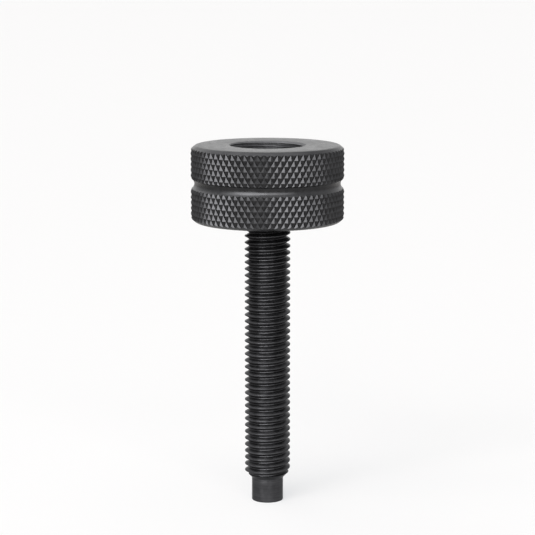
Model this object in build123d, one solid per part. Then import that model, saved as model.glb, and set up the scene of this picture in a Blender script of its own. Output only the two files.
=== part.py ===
from build123d import *
from math import cos, pi, radians, sin, tan
import os

# A threaded handwheel: a knurled steel wheel screwed tight on the end of an M12 spindle.
# Millimetres, +Z up. The origin is on the axis, at the foot of the spindle's dog point.

# Spindle: M12 x 1.75, plain here at the thread's major diameter
spindle_diameter = 12.0
thread_pitch = 1.75
pitch_line_share = 0.6495       # ISO: the major diameter less the pitch diameter, in pitches
spindle_reach = 75.0            # from the foot to the underside of the wheel
dog_diameter = 8.3
dog_length = 6.2
dog_edge = 0.2                  # chamfer round the foot
point_slope = 45.0              # degrees, from the dog up to the thread
end_chamfer = 0.53              # at the end that lies in the socket

# Wheel: turned from bar, with a tapped web in its lower half
wheel_diameter = 40.0
wheel_height = 20.0
rim_width = 1.6                 # the rims' chamfer, across the face
rim_height = 0.9                # the rims' chamfer, down the side
groove_width = 3.2              # finger groove round the middle
groove_depth = 0.95
groove_slope = 45.0             # degrees between the flanks and the floor
groove_rounding = 1.4           # where the flanks meet the floor
groove_steps = 2                # flats in each of these roundings
web_thickness = 10.0
web_countersink = 0.5           # past the thread's major diameter, under the wheel
seat_clearance = 0.0            # between the two threads in the web, which are run up tight
seat_gap = 0.1                  # between the full thread below the wheel and the wheel

# Socket in the top of the wheel, tapped M20 x 1, plain here at the thread's minor diameter
socket_diameter = 18.9
socket_mouth_diameter = 20.0

# Diamond knurl: pointed pyramids between two crossing sets of V grooves
knurl_count = 72                # pyramids round the wheel in each row
knurl_depth = 0.45
knurl_helix = 31.5              # degrees between the grooves and the axis
knurl_turn = 0.0                # degrees by which the pattern is turned about the axis

spindle_radius = spindle_diameter / 2
wheel_radius = wheel_diameter / 2
wheel_top = spindle_reach + wheel_height
wheel_middle = spindle_reach + wheel_height / 2
socket_floor = spindle_reach + web_thickness

# Where two ISO threads meet, each solid ends at their pitch diameter
seat_radius = spindle_radius - pitch_line_share * thread_pitch / 2


def make_spindle():
    """Rod from the foot to the socket's floor, turned to a dog point at the foot."""
    dog_radius = dog_diameter / 2
    point_length = (spindle_radius - dog_radius) * tan(radians(point_slope))
    half_section = Polyline(
        (0, 0),
        (dog_radius - dog_edge, 0),
        (dog_radius, dog_edge),
        (dog_radius, dog_length),
        (spindle_radius, dog_length + point_length),
        (spindle_radius, spindle_reach - seat_gap),
        (seat_radius, spindle_reach - seat_gap),
        (seat_radius, socket_floor - end_chamfer),
        (seat_radius - end_chamfer, socket_floor),
        (0, socket_floor),
        close=True,
    )
    return revolve(Plane.XZ * make_face(half_section), Axis.Z)


def stack_rings(rings, is_folded_up=None):
    """Solid with flat sides whose corners are rings of points, from the lowest ring to the highest.

    Each cell between two rings is one flat, or two if is_folded_up(column, row) says which diagonal
    is its fold: the one that rises to the right, or the one that falls.
    """
    flats = [Face(Wire.make_polygon(ring)) for ring in (rings[0], rings[-1])]
    for row, (low, high) in enumerate(zip(rings, rings[1:])):
        for column in range(len(low)):
            after = (column + 1) % len(low)
            corners = [low[column], low[after], high[after], high[column]]
            if is_folded_up is None:
                pieces = [corners]
            elif is_folded_up(column, row):
                pieces = [corners[:3], corners[2:] + corners[:1]]
            else:
                pieces = [corners[1:], corners[3:] + corners[:2]]
            flats += [Face(Wire.make_polygon(piece)) for piece in pieces]
    return Solid(Shell(flats))


def make_ring(height, radii):
    """Ring of points at one height, two to each pyramid of the knurl."""
    turn = radians(knurl_turn)
    angles = [turn + 2 * pi * column / len(radii) for column in range(len(radii))]
    return [Vector(radius * cos(angle), radius * sin(angle), height) for radius, angle in zip(radii, angles)]


def make_knurled_rod():
    """A rod with the knurl all over its side, a little longer than the wheel is high.

    Its surface is a net. Along a row and from row to row, the tip of a pyramid comes next to a
    crossing of two grooves, and each cell is folded from one crossing to the other.
    """
    row_height = pi * wheel_radius / knurl_count / tan(radians(knurl_helix))
    rows = 2 * int(wheel_height / 2 / row_height + 1.5)
    rings = []
    for row in range(rows):
        height = wheel_middle + (row - (rows - 1) / 2) * row_height
        depths = [knurl_depth * ((column + row) % 2) for column in range(2 * knurl_count)]
        rings.append(make_ring(height, [wheel_radius - depth for depth in depths]))
    return stack_rings(rings, is_folded_up=lambda column, row: (column + row) % 2 == 1)


def make_blank():
    """The wheel's outside before it is knurled: rims and finger groove, and the knurl's stock proud."""
    proud = knurl_depth
    stock_radius = wheel_radius + proud
    flank_angle = radians(groove_slope)
    half_floor = groove_width / 2 - groove_depth / tan(flank_angle)
    rounding_start = half_floor - groove_rounding * tan(flank_angle / 2)
    upper_half = []
    for step in range(groove_steps + 1):
        angle = flank_angle * step / groove_steps
        upper_half.append((
            wheel_radius - groove_depth + groove_rounding * (1 - cos(angle)),
            rounding_start + groove_rounding * sin(angle),
        ))
    upper_half += [
        (stock_radius, groove_width / 2 + proud / tan(flank_angle)),
        (stock_radius, wheel_height / 2 - rim_height - proud * rim_height / rim_width),
        (wheel_radius - rim_width, wheel_height / 2),
    ]
    lower_half = [(radius, -height) for radius, height in upper_half[::-1]]
    return stack_rings([
        make_ring(wheel_middle + height, [radius] * 2 * knurl_count)
        for radius, height in lower_half + upper_half
    ])


def make_bore():
    """What is bored out of the wheel: the socket, and the web's hole with its countersink."""
    past = knurl_depth          # beyond both faces
    hole_radius = seat_radius + seat_clearance
    sink_radius = spindle_radius + web_countersink
    socket_radius = socket_diameter / 2
    mouth_radius = socket_mouth_diameter / 2
    half_section = Polyline(
        (0, spindle_reach - past),
        (sink_radius + past, spindle_reach - past),
        (hole_radius, spindle_reach + sink_radius - hole_radius),
        (hole_radius, socket_floor),
        (socket_radius, socket_floor),
        (socket_radius, wheel_top - (mouth_radius - socket_radius)),
        (mouth_radius + past, wheel_top + past),
        (0, wheel_top + past),
        close=True,
    )
    return revolve(Plane.XZ * make_face(half_section), Axis.Z)


def make_wheel():
    return (make_knurled_rod() & make_blank()) - make_bore()


os.makedirs("parts", exist_ok=True)
for name, shape in {"handwheel": make_wheel(), "spindle": make_spindle()}.items():
    export_step(shape, f"parts/{name}.step")
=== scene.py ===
"""Looks of a threaded handwheel: a black, diamond-knurled steel wheel on the end of an M12 spindle."""
from math import atan2, cos, pi, radians, sin, tan

import bmesh
import bpy
from bpy.props import FloatProperty, FloatVectorProperty, IntProperty, PointerProperty
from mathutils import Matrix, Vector


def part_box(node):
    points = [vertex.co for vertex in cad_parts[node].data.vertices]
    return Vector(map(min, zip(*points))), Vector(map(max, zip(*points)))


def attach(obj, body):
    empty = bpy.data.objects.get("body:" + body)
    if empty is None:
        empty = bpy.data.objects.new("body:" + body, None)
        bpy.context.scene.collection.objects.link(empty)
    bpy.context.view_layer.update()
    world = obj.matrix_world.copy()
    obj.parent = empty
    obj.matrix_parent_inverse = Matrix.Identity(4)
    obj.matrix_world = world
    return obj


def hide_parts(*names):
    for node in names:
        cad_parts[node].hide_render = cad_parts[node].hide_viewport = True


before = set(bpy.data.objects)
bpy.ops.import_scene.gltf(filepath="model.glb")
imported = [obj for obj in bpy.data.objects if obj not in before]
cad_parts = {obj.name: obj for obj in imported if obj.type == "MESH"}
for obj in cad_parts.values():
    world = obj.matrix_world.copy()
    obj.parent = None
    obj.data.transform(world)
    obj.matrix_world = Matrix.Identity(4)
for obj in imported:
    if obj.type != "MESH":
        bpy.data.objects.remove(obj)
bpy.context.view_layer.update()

bl_info = {
    "name": "Threaded Handwheel",
    "version": (1, 0, 0),
    "blender": (4, 5, 0),
    "location": "View3D > Sidebar > Handwheel",
    "description": "Builds the wheel and the spindle of a threaded handwheel, and a studio for them",
    "category": "Add Mesh",
}

MM = 0.001
AXIS = (0.0, 0.0, 0.0)

wheel_low, wheel_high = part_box("handwheel")
spindle_low, spindle_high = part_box("spindle")

# ISO metric thread, in shares of the pitch
SHARP_HEIGHT = 0.8660           # of the sharp V, before crest and root are cut off
CREST_FLAT = 0.125
BORE_FLAT = 0.25                # of the tapped thread's crest
ROOT_ROUNDING = SHARP_HEIGHT / 6
FLANK = radians(30)             # between a flank and a plane across the axis
BORE_DEPTH = (1 - CREST_FLAT - BORE_FLAT) * SHARP_HEIGHT
PITCH_LINE_DEPTH = 0.375 * SHARP_HEIGHT

SMALLEST = 0.001 * MM           # points closer than this are one

# The stage's lamps: name, azimuth and elevation, spread (all in degrees) and brightness
LAMPS = [
    ("key_lamp", -28, 24, 50, 5.4),
    ("fill_lamp", 14, 24, 44, 2.9),
    ("side_lamp", -60, 50, 40, 1.95),
    ("top_lamp", 0, 90, 60, 1.1),
    ("back_lamp", -135, 45, 50, 0.7),
]


def length(name, description, default):
    return FloatProperty(name=name, description=description, default=default, min=0, precision=5,
                         subtype="DISTANCE", unit="LENGTH")


def angle(name, description, degrees):
    return FloatProperty(name=name, description=description, default=radians(degrees),
                         subtype="ANGLE", unit="ROTATION")


def share(name, description, default, most=1):
    return FloatProperty(name=name, description=description, default=default, min=0, max=most,
                         subtype="FACTOR")


def colour(name, description, default):
    return FloatVectorProperty(name=name, description=description, default=default, size=3,
                               min=0, max=1, subtype="COLOR")


class WheelSizes(bpy.types.PropertyGroup):
    """Sizes of the knurled wheel."""
    rim_width: length("Rim width", "The rims' chamfer, across the face", 1.25 * MM)
    rim_height: length("Rim height", "The rims' chamfer, down the side", 1.05 * MM)
    rim_rounding: length("Rim rounding", "Radius where a rim's chamfer meets the face and the side", 1.1 * MM)
    soft_edge: length("Soft edge", "Radius of the wheel's other turned edges", 0.12 * MM)
    groove_width: length("Groove width", "Mouth of the finger groove round the middle", 3.2 * MM)
    groove_depth: length("Groove depth", "Depth of the finger groove", 0.95 * MM)
    groove_rounding: length("Groove rounding", "Radius where the flanks meet the floor", 1.4 * MM)
    web_thickness: length("Web thickness", "The tapped web under the socket", 10.0 * MM)
    countersink: length("Countersink", "Past the spindle's thread, under the wheel", 0.5 * MM)
    socket_diameter: length("Socket diameter", "Major diameter of the socket's thread", 20.0 * MM)
    socket_pitch: length("Socket pitch", "Pitch of the socket's thread", 1.0 * MM)
    socket_crest_rounding: length("Socket crest rounding", "At the major diameter of its thread", 0.04 * MM)
    tap_lead: length("Tap lead", "Plain stretch at the foot of the socket", 0.6 * MM)
    knurl_count: IntProperty(name="Knurl count", description="Pyramids round the wheel in each row",
                             default=72, min=12, max=200)
    knurl_depth: length("Knurl depth", "From a pyramid's tip to the bottom of the grooves", 0.45 * MM)
    knurl_helix: angle("Knurl helix", "Between the knurl's grooves and the axis", 31.5)
    knurl_turn: angle("Knurl turn", "Turns the pattern about the axis", 0)
    knurl_flat: length("Knurl flat", "From a pyramid's sharp tip to the edge of its flat", 0.05 * MM)


class SpindleSizes(bpy.types.PropertyGroup):
    """Sizes of the threaded spindle."""
    pitch: length("Pitch", "Pitch of the thread", 1.75 * MM)
    start: length("Thread start", "Height of a crest on the +X side, above the foot", 0.276 * MM)
    crest_rounding: length("Crest rounding", "Radius of the crest's two corners", 0.07 * MM)
    dog_diameter: length("Dog diameter", "Plain point at the foot", 8.3 * MM)
    dog_length: length("Dog length", "Length of the plain point", 6.2 * MM)
    dog_edge: length("Dog edge", "Chamfer round the foot", 0.2 * MM)
    soft_edge: length("Soft edge", "Radius of the spindle's other turned edges", 0.1 * MM)
    end_chamfer: length("End chamfer", "Chamfer of the end in the socket", 0.53 * MM)
    thread_play: length("Thread play", "Gap between the two threads in the web", 0.02 * MM)


class Finishes(bpy.types.PropertyGroup):
    """Blackened steel."""
    wheel_colour: colour("Wheel", "Reflection of the blackened wheel", (0.045, 0.045, 0.047))
    spindle_colour: colour("Spindle", "Reflection of the blackened spindle", (0.055, 0.055, 0.058))
    wheel_roughness: share("Wheel roughness", "Mean roughness of the wheel", 0.30)
    spindle_roughness: share("Spindle roughness", "Mean roughness of the spindle", 0.34)
    wheel_streaks: share("Wheel streaks", "Contrast of the lathe's rings on the wheel", 0.2)
    spindle_streaks: share("Spindle streaks", "Contrast of the lathe's rings on the spindle", 0.4)
    wheel_grain: share("Wheel grain", "How much more the wheel spreads light along the axis", 0.0)
    spindle_grain: share("Spindle grain", "How much more the spindle spreads light along the axis", 0.7)
    wheel_edges: share("Wheel edges", "How well the wheel reflects at a grazing angle", 0.92)
    spindle_edges: share("Spindle edges", "How well the spindle reflects at a grazing angle", 0.6)
    mottle: share("Mottle", "Contrast of the cloudy patches", 0.2)
    mottle_roughness: share("Mottle's roughness", "How much rougher the pale patches are", 0.08)
    relief: length("Relief", "Depth of the finest rings and grains", 0.0005 * MM)
    # Painted light: raises the tapped socket's colour to stand in for light reaching into it
    socket_painted_light: share("Socket gain", "How much paler the tapped socket is", 1.2, most=2)
    socket_roughness: share("Socket roughness", "How much rougher the tapped socket is", 0.2)


class StageSettings(bpy.types.PropertyGroup):
    """Camera and floor."""
    lens: FloatProperty(name="Lens", description="Focal length in millimetres", default=130.2, min=10)
    distance: length("Camera distance", "From the spindle's axis to the camera", 500.4 * MM)
    height: length("Camera height", "Above the floor", 146.7 * MM)
    tilt: angle("Camera tilt", "Below the horizon", 9.53)
    floor_radius: length("Floor radius", "Large enough to hide the horizon", 8.0)
    floor_colour: colour("Floor", "How the floor takes the lamps' light", (0.335, 0.32, 0.303))
    glow_colour: colour("Glow colour", "Colour of what makes up the floor's white", (0.95, 0.97, 1.0))
    floor_glow: share("Floor glow", "Makes up the floor's white", 0.63)
    backdrop_fall: share("Backdrop fall", "How much greyer the floor is far behind the object", 0.045)
    far_loss: share("Far loss", "How much darker the floor looks in metal, away from the foot", 0.6)
    near: length("Near", "Radius within which the floor looks its full white in metal", 30 * MM)
    far: length("Far", "Radius beyond which it has all of the far loss", 160 * MM)
    matt_world: share("World's light", "What the world gives to matt surfaces", 0.05)


# Tools for modelling

def choose(piece):
    """Makes this the one selected and active object."""
    bpy.ops.object.select_all(action="DESELECT")
    piece.select_set(True)
    bpy.context.view_layer.objects.active = piece


class Editing:
    """Edit mode on one piece, for as long as a with block lasts."""

    def __init__(self, piece):
        self.piece = piece

    def __enter__(self):
        choose(self.piece)
        bpy.ops.object.mode_set(mode="EDIT")
        return self

    def __exit__(self, *error):
        bpy.ops.object.mode_set(mode="OBJECT")

    def pick(self, kind, test=lambda part: True):
        """Selects only the verts, edges or faces that pass the test."""
        bpy.ops.mesh.select_mode(type={"verts": "VERT", "edges": "EDGE", "faces": "FACE"}[kind])
        bpy.ops.mesh.select_all(action="DESELECT")
        mesh = bmesh.from_edit_mesh(self.piece.data)
        for part in getattr(mesh, kind):
            if test(part):
                part.select_set(True)
        mesh.select_flush_mode()
        bmesh.update_edit_mesh(self.piece.data)

    def close_surface(self):
        """Merges what lies in one place and turns every face outwards."""
        self.pick("verts")
        bpy.ops.mesh.remove_doubles(threshold=SMALLEST)
        bpy.ops.mesh.normals_make_consistent(inside=False)


def apply_modifier(piece, name, kind, **settings):
    modifier = piece.modifiers.new(name, kind)
    for setting, value in settings.items():
        setattr(modifier, setting, value)
    choose(piece)
    bpy.ops.object.modifier_apply(modifier=modifier.name)


def combine(piece, tool, operation):
    """INTERSECT keeps what piece and tool share, DIFFERENCE cuts tool out of piece. The tool goes."""
    apply_modifier(piece, "Cut", "BOOLEAN", operation=operation, solver="EXACT", object=tool)
    bpy.data.objects.remove(tool)


def draw_outline(name, corners, roundings=(), is_closed=False):
    """Draws an outline in the XZ plane from corner to corner, each given as (radius, height).

    Each rounding is (corner's number, radius, segments).
    """
    bpy.ops.mesh.primitive_plane_add(size=MM)
    piece = bpy.context.object
    piece.name = name
    places = [Vector((radius, 0, height)) for radius, height in corners]
    with Editing(piece) as edit:
        edit.pick("verts")
        bpy.ops.mesh.merge(type="CENTER")
        bpy.ops.transform.translate(value=places[0])
        for before, after in zip(places, places[1:]):
            bpy.ops.mesh.extrude_vertices_move(TRANSFORM_OT_translate={"value": after - before})
        if is_closed:
            ends = (places[0], places[-1])
            edit.pick("verts", lambda vert: any((vert.co - end).length < SMALLEST for end in ends))
            bpy.ops.mesh.edge_face_add()
        for number, radius, segments in roundings:
            corner = places[number]
            ways = [places[(number + step) % len(places)] - corner for step in (-1, 1)]
            turn = pi - ways[0].angle(ways[1])
            edit.pick("verts", lambda vert: (vert.co - corner).length < SMALLEST)
            bpy.ops.mesh.bevel(affect="VERTICES", offset_type="OFFSET", offset=radius * tan(turn / 2),
                               segments=segments, profile=0.5, clamp_overlap=False)
    return piece


def turn_outline(piece, steps):
    """Spins an outline once round the axis into a closed solid."""
    with Editing(piece) as edit:
        edit.pick("verts")
        bpy.ops.mesh.spin(steps=steps, angle=2 * pi, center=AXIS, axis=(0, 0, 1))
        edit.close_surface()
    return piece


def cut_off(piece, height, keeps_top):
    """Cuts a solid across at a height, closes the cut and keeps one side."""
    with Editing(piece) as edit:
        edit.pick("verts")
        bpy.ops.mesh.bisect(plane_co=(0, 0, height), plane_no=(0, 0, 1), use_fill=True,
                            threshold=SMALLEST / 10, clear_inner=keeps_top, clear_outer=not keeps_top)
        edit.close_surface()


def make_thread(name, radius, pitch, crest_height, low, high, crest_rounding, steps, root_segments=4):
    """A right-handed threaded rod that reaches past low and high, with flat ends.

    One of its crests is at crest_height on the +X side.
    """
    beyond = 3                  # turns before low, and after high
    start = crest_height + pitch * int((low - crest_height) / pitch - beyond)
    turns = int((high - start) / pitch) + beyond
    half_flat = CREST_FLAT * pitch / 2
    root = radius - (pitch / 2 - half_flat) / tan(FLANK)
    piece = draw_outline(
        name,
        [(radius, start), (radius, start + half_flat), (root, start + pitch / 2),
         (radius, start + pitch - half_flat), (radius, start + pitch)],
        [(1, crest_rounding, 2), (3, crest_rounding, 2), (2, ROOT_ROUNDING * pitch, root_segments)],
    )
    apply_modifier(piece, "Thread", "SCREW", axis="Z", angle=2 * pi, steps=steps, render_steps=steps,
                   screw_offset=pitch, iterations=turns, use_merge_vertices=True, merge_threshold=SMALLEST)
    with Editing(piece) as edit:
        edit.close_surface()
    low_cut, high_cut = 1.37, 0.63      # turns taken off the two ends, by cuts that miss every vertex
    cut_off(piece, start + low_cut * pitch, keeps_top=True)
    cut_off(piece, start + (turns - high_cut) * pitch, keeps_top=False)
    return piece


# The wheel

def make_knurled_rod(sizes, radius, middle, height):
    """A rod with the diamond knurl all over its side.

    Its surface is a net of columns and rows in which the tips of the pyramids and the crossings of
    the grooves come by turns. Each cell is folded from one crossing to the other.
    """
    column_angle = pi / sizes.knurl_count
    row_height = column_angle * radius / tan(sizes.knurl_helix)
    rows = 2 * int(height / 2 / row_height + 1.5)
    bottom = middle - (rows - 1) / 2 * row_height
    bpy.ops.mesh.primitive_circle_add(vertices=2 * sizes.knurl_count, radius=radius, fill_type="NOTHING",
                                      location=(0, 0, bottom), rotation=(0, 0, sizes.knurl_turn))
    rod = bpy.context.object
    bpy.ops.object.transform_apply(location=True, rotation=True, scale=True)

    def is_tip(vert):
        column = round((atan2(vert.co.y, vert.co.x) - sizes.knurl_turn) / column_angle)
        row = round((vert.co.z - bottom) / row_height)
        return (column + row) % 2 == 0

    with Editing(rod) as edit:
        edit.pick("verts")
        for _ in range(rows - 1):
            bpy.ops.mesh.extrude_region_move(TRANSFORM_OT_translate={"value": (0, 0, row_height)})
        edit.pick("verts", lambda vert: not is_tip(vert))
        shrink = 1 - sizes.knurl_depth / radius
        bpy.ops.transform.resize(value=(shrink, shrink, 1), center_override=AXIS)
        edit.pick("faces")
        bpy.ops.mesh.quads_convert_to_tris(quad_method="SHORTEST_DIAGONAL")
        edit.pick("verts", lambda vert: is_tip(vert) and not vert.is_boundary)
        bpy.ops.mesh.bevel(affect="VERTICES", offset=sizes.knurl_flat, segments=1, clamp_overlap=False)
        near = row_height / 4
        for end in (bottom, bottom + (rows - 1) * row_height):
            edit.pick("edges", lambda edge: edge.is_boundary and abs(edge.verts[0].co.z - end) < near)
            bpy.ops.mesh.edge_face_add()
        edit.close_surface()
    return rod


def make_wheel_blank(sizes, spindle, radius, bottom, top):
    """The wheel as it comes off the lathe, before it is knurled and tapped."""
    middle = (bottom + top) / 2
    clear = 0.02 * MM           # the blank stands proud of the knurl's tips by this
    stock = radius + clear
    face_radius = radius - sizes.rim_width
    floor_radius = radius - sizes.groove_depth
    half_floor = sizes.groove_width / 2 - sizes.groove_depth
    half_mouth = sizes.groove_width / 2 + clear
    thread_radius = spindle_high.x
    bore = thread_radius - BORE_DEPTH * spindle.pitch
    countersink = thread_radius + sizes.countersink
    mouth = sizes.socket_diameter / 2
    socket = mouth - BORE_DEPTH * sizes.socket_pitch
    floor = bottom + sizes.web_thickness
    corners = [
        (countersink, bottom),
        (face_radius, bottom),
        (stock, bottom + sizes.rim_height),
        (stock, middle - half_mouth),
        (floor_radius, middle - half_floor),
        (floor_radius, middle + half_floor),
        (stock, middle + half_mouth),
        (stock, top - sizes.rim_height),
        (face_radius, top),
        (mouth, top),
        (socket, top - (mouth - socket)),
        (socket, floor),
        (bore, floor),
        (bore, bottom + countersink - bore),
    ]
    roundings = [(number, sizes.rim_rounding, 6) for number in (1, 2, 7, 8)]
    roundings += [(number, sizes.soft_edge, 3) for number in (3, 6, 9, 0)]
    roundings += [(number, sizes.groove_rounding, 8) for number in (4, 5)]
    blank = draw_outline("wheel_blank", corners, roundings, is_closed=True)
    return turn_outline(blank, 4 * sizes.knurl_count)


class HANDWHEEL_OT_wheel(bpy.types.Operator):
    """Turns, knurls and taps the wheel"""
    bl_idname = "handwheel.wheel"
    bl_label = "Wheel"

    def execute(self, context):
        sizes = context.scene.handwheel_wheel
        spindle = context.scene.handwheel_spindle
        bottom, top = wheel_low.z, wheel_high.z
        floor = bottom + sizes.web_thickness
        blank = make_wheel_blank(sizes, spindle, wheel_high.x, bottom, top)
        socket_tap = make_thread("socket_tap", sizes.socket_diameter / 2, sizes.socket_pitch, floor,
                                 floor, top, sizes.socket_crest_rounding, steps=96, root_segments=3)
        cut_off(socket_tap, floor + sizes.tap_lead, keeps_top=True)
        combine(blank, socket_tap, "DIFFERENCE")
        web_tap = make_thread("web_tap", spindle_high.x + spindle.thread_play, spindle.pitch, spindle.start,
                              bottom, floor, spindle.crest_rounding, steps=64)
        combine(blank, web_tap, "DIFFERENCE")
        wheel = make_knurled_rod(sizes, wheel_high.x, (bottom + top) / 2, top - bottom)
        combine(wheel, blank, "INTERSECT")
        wheel.name = "knurled_wheel"
        finish_piece(wheel, "handwheel",
                     blackened_steel("wheel_steel_finish", context.scene, "wheel"))
        return {"FINISHED"}


# The spindle

class HANDWHEEL_OT_spindle(bpy.types.Operator):
    """Threads the spindle and turns its dog point"""
    bl_idname = "handwheel.spindle"
    bl_label = "Spindle"

    def execute(self, context):
        sizes = context.scene.handwheel_spindle
        radius = spindle_high.x
        foot, end = spindle_low.z, spindle_high.z
        dog = sizes.dog_diameter / 2
        beyond = sizes.pitch / 4    # the blank stands proud of the thread's crests by this
        end_radius = radius - PITCH_LINE_DEPTH * sizes.pitch - sizes.end_chamfer
        spindle = make_thread("threaded_spindle", radius, sizes.pitch, sizes.start, foot, end,
                              sizes.crest_rounding, steps=64)
        blank = draw_outline("spindle_blank", [
            (0, foot),
            (dog, foot),
            (dog, foot + sizes.dog_length),
            (radius + beyond, foot + sizes.dog_length + radius + beyond - dog),
            (radius + beyond, end - (radius + beyond - end_radius)),
            (end_radius, end),
            (0, end),
        ], [(1, sizes.dog_edge, 3), (2, sizes.soft_edge, 3), (5, sizes.soft_edge, 3)])
        combine(spindle, turn_outline(blank, 128), "INTERSECT")
        finish_piece(spindle, "spindle",
                     blackened_steel("spindle_steel_finish", context.scene, "spindle"))
        return {"FINISHED"}


# Finishes

class Socket:
    """A node's output, on which sums can be written. Numbers may stand on either side."""

    def __init__(self, tree, output):
        self.tree = tree
        self.output = output

    def __add__(self, other):
        return self.tree.maths("ADD", self, other)

    def __rsub__(self, other):
        return self.tree.maths("SUBTRACT", other, self)

    def __mul__(self, other):
        return self.tree.maths("MULTIPLY", self, other)

    def __truediv__(self, other):
        return self.tree.maths("DIVIDE", self, other)

    __radd__ = __add__
    __rmul__ = __mul__

    def smooth(self, low, high):
        """0 below low, 1 above high, and a soft step between."""
        return self.tree.node("ShaderNodeMapRange", {"interpolation_type": "SMOOTHSTEP", "clamp": True},
                              {"Value": self, "From Min": low, "From Max": high})


class Tree:
    """A node tree under construction."""

    def __init__(self, owner):
        owner.use_nodes = True
        self.tree = owner.node_tree
        self.tree.nodes.clear()

    def node(self, kind, settings=None, values=None, output=0):
        """Adds a node: its type, its settings, then the values or links of its sockets."""
        node = self.tree.nodes.new(kind)
        for setting, value in (settings or {}).items():
            setattr(node, setting, value)
        for name, value in (values or {}).items():
            socket = node.inputs[name]
            if isinstance(value, Socket):
                self.tree.links.new(value.output, socket)
            else:
                socket.default_value = value
        return Socket(self, node.outputs[output]) if node.outputs else None

    def outputs(self, kind, names, values=None):
        """Adds one node and gives several of its outputs."""
        node = self.node(kind, values=values).output.node
        return [Socket(self, node.outputs[name]) for name in names]

    def maths(self, operation, *values):
        return self.node("ShaderNodeMath", {"operation": operation}, dict(enumerate(values)))

    def noise(self, where, scale, detail):
        """Noise from 0 to 1, with scale features to the metre."""
        return self.node("ShaderNodeTexNoise", values={"Vector": where, "Scale": scale, "Detail": detail})


def blackened_steel(name, scene, part):
    """Blackened steel with the lathe's fine rings, rougher in the wheel's tapped socket, where painted light
    makes it paler.
    """
    finishes, wheel = scene.handwheel_finishes, scene.handwheel_wheel
    base, roughness, streak_share, grain, edges = (
        getattr(finishes, part + "_" + what) for what in ("colour", "roughness", "streaks", "grain", "edges"))
    material = bpy.data.materials.new(name)
    tree = Tree(material)
    place = tree.node("ShaderNodeTexCoord", output="Object")
    x, y, z = tree.outputs("ShaderNodeSeparateXYZ", "XYZ", {"Vector": place})
    radius = tree.maths("SQRT", x * x + y * y)
    rings = tree.node("ShaderNodeCombineXYZ", values={"X": radius, "Y": z, "Z": 0.0})
    # Mask of the tapped socket: rougher there, and paler there by painted light
    is_in_socket = (tree.maths("GREATER_THAN", z, wheel_low.z + wheel.web_thickness)
                    * tree.maths("LESS_THAN", radius, wheel.socket_diameter / 2))

    dark, pale = 0.3, 0.7       # noise from which the patches and streaks are fully dark, or pale
    mottle = tree.noise(place, scale=700.0, detail=4.0).smooth(dark, pale)
    streaks = tree.noise(rings, scale=1500.0, detail=2.0).smooth(dark, pale)
    fine_rings = tree.noise(rings, scale=9000.0, detail=2.0)
    fine_grain = tree.noise(place, scale=6000.0, detail=3.0)
    darkest = 1 - finishes.mottle / 2 - streak_share / 2
    shade = darkest + finishes.mottle * mottle + streak_share * streaks
    # The socket's paler colour is painted light, not a different finish
    tint = tree.node("ShaderNodeVectorMath", {"operation": "SCALE"},
                     {0: base, "Scale": shade * (1 + finishes.socket_painted_light * is_in_socket)})
    smoothest = roughness - finishes.mottle_roughness / 2
    bump = tree.node("ShaderNodeBump", values={
        "Strength": 1.0, "Distance": 1.0, "Height": finishes.relief * (fine_rings + fine_grain)})
    shader = tree.node("ShaderNodeBsdfPrincipled", values={
        "Base Color": tint,
        "Metallic": 1.0,
        "Roughness": (smoothest + finishes.mottle_roughness * mottle
                      + finishes.socket_roughness * is_in_socket),
        "Normal": bump,
        "Anisotropic": grain,
        "Anisotropic Rotation": 0.25,       # of a turn: along the axis
        "Specular Tint": (edges, edges, edges, 1),
    })
    tree.node("ShaderNodeOutputMaterial", values={"Surface": shader})
    return material


def finish_piece(piece, node, material):
    """Smooths the turned faces, leaves the edges sharp, and puts the piece in its node's place."""
    sharpest_smoothed = radians(20)     # between two faces
    piece.data.materials.clear()
    piece.data.materials.append(material)
    choose(piece)
    bpy.ops.object.shade_smooth_by_angle(angle=sharpest_smoothed)
    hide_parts(node)
    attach(piece, "root")


# The stage

def add_lamp(name, azimuth, elevation, spread, brightness):
    """A far, soft lamp: azimuth from the front to the right, elevation above the floor, both in degrees.

    The spread is the angle that the lamp fills as the object sees it, and the brightness that of its face.
    """
    turn, lift = radians(azimuth), radians(elevation)
    way = Vector((sin(turn) * cos(lift), -cos(turn) * cos(lift), sin(lift)))
    bpy.ops.object.light_add(type="SUN", location=way, rotation=way.to_track_quat("Z", "Y").to_euler())
    lamp = bpy.context.object
    lamp.name = name
    lamp.data.angle = radians(spread)
    lamp.data.energy = brightness * 2 * pi * (1 - cos(radians(spread) / 2))


class HANDWHEEL_OT_stage(bpy.types.Operator):
    """Sets up the camera, the pale floor and the soft lamps"""
    bl_idname = "handwheel.stage"
    bl_label = "Stage"

    def execute(self, context):
        scene = context.scene
        stage = scene.handwheel_stage
        bpy.ops.object.camera_add(location=(0, -stage.distance, stage.height),
                                  rotation=(radians(90) - stage.tilt, 0, 0))
        camera = context.object
        camera.name = "camera"
        camera.data.lens = stage.lens
        camera.data.clip_start = 0.01
        camera.data.clip_end = 2 * stage.floor_radius
        scene.camera = camera

        bpy.ops.mesh.primitive_circle_add(vertices=96, radius=stage.floor_radius, fill_type="NGON")
        floor = context.object
        floor.name = "floor"
        floor.data.materials.append(floor_finish(stage))

        for lamp in LAMPS:
            add_lamp(*lamp)
        add_world(scene, stage)
        scene.view_settings.view_transform = "Standard"
        return {"FINISHED"}


def seen_directly(tree, in_metal):
    """1 for what the camera or glass sees, in_metal for what a reflection sees, and otherwise 0."""
    camera, glossy, glass = tree.outputs("ShaderNodeLightPath",
                                         ("Is Camera Ray", "Is Glossy Ray", "Is Transmission Ray"))
    return tree.maths("MAXIMUM", camera, tree.maths("MAXIMUM", in_metal * glossy, glass))


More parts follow.
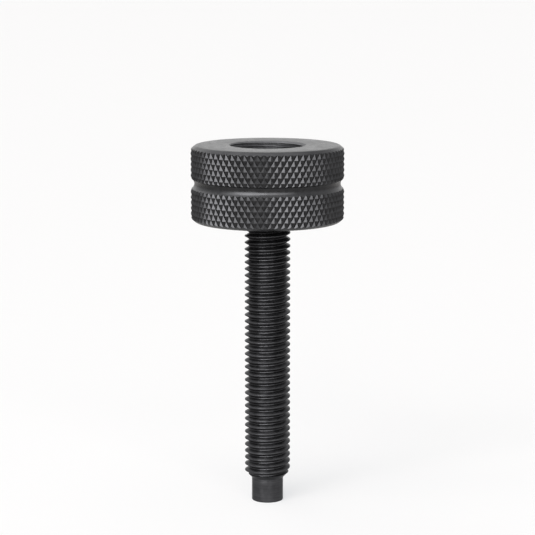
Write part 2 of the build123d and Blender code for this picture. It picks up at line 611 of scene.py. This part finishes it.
def floor_finish(stage):
    """A matt floor that keeps the shadow, made up to white, a little less so far behind the object."""
    material = bpy.data.materials.new("floor_finish")
    tree = Tree(material)
    place = tree.node("ShaderNodeTexCoord", output="Object")
    distance = tree.node("ShaderNodeVectorMath", {"operation": "LENGTH"}, {0: place}, output=1)
    fall = stage.backdrop_fall * distance / (distance + stage.distance)
    in_metal = 1 - stage.far_loss * distance.smooth(stage.near, stage.far)
    matt = tree.node("ShaderNodeBsdfDiffuse", values={"Color": (*stage.floor_colour, 1)})
    white = tree.node("ShaderNodeEmission", values={
        "Color": (*stage.glow_colour, 1),
        "Strength": (stage.floor_glow - fall) * seen_directly(tree, in_metal)})
    both = tree.node("ShaderNodeAddShader", values={0: matt, 1: white})
    tree.node("ShaderNodeOutputMaterial", values={"Surface": both})
    return material


def add_world(scene, stage):
    """A white world where it is seen, and a faint one for matt surfaces."""
    scene.world = bpy.data.worlds.new("studio")
    tree = Tree(scene.world)
    background = tree.node("ShaderNodeBackground", values={
        "Color": (1, 1, 1, 1),
        "Strength": stage.matt_world + (1 - stage.matt_world) * seen_directly(tree, 1)})
    tree.node("ShaderNodeOutputWorld", values={"Surface": background})


class HANDWHEEL_PT_panel(bpy.types.Panel):
    """Builds the handwheel, piece by piece"""
    bl_idname = "HANDWHEEL_PT_panel"
    bl_label = "Threaded Handwheel"
    bl_space_type = "VIEW_3D"
    bl_region_type = "UI"
    bl_category = "Handwheel"

    def draw(self, context):
        for operator, names in STEPS:
            for name in names:
                settings = getattr(context.scene, name)
                for field in settings.__annotations__:
                    self.layout.prop(settings, field)
            self.layout.operator(operator)


SETTINGS = {
    "handwheel_wheel": WheelSizes,
    "handwheel_spindle": SpindleSizes,
    "handwheel_finishes": Finishes,
    "handwheel_stage": StageSettings,
}

# Operators in their order, each with the settings that the panel shows above it
STEPS = [
    ("handwheel.wheel", ["handwheel_finishes", "handwheel_wheel"]),
    ("handwheel.spindle", ["handwheel_spindle"]),
    ("handwheel.stage", ["handwheel_stage"]),
]
OPERATORS = [HANDWHEEL_OT_wheel, HANDWHEEL_OT_spindle, HANDWHEEL_OT_stage]


def register():
    for cls in [*SETTINGS.values(), *OPERATORS, HANDWHEEL_PT_panel]:
        bpy.utils.register_class(cls)
    for name, cls in SETTINGS.items():
        setattr(bpy.types.Scene, name, PointerProperty(type=cls))


def unregister():
    for name in SETTINGS:
        delattr(bpy.types.Scene, name)
    for cls in reversed([*SETTINGS.values(), *OPERATORS, HANDWHEEL_PT_panel]):
        bpy.utils.unregister_class(cls)


def main():
    register()
    bpy.ops.object.select_all(action="DESELECT")
    bpy.ops.handwheel.wheel()
    bpy.ops.handwheel.spindle()
    bpy.ops.handwheel.stage()


if __name__ == "__main__":
    main()
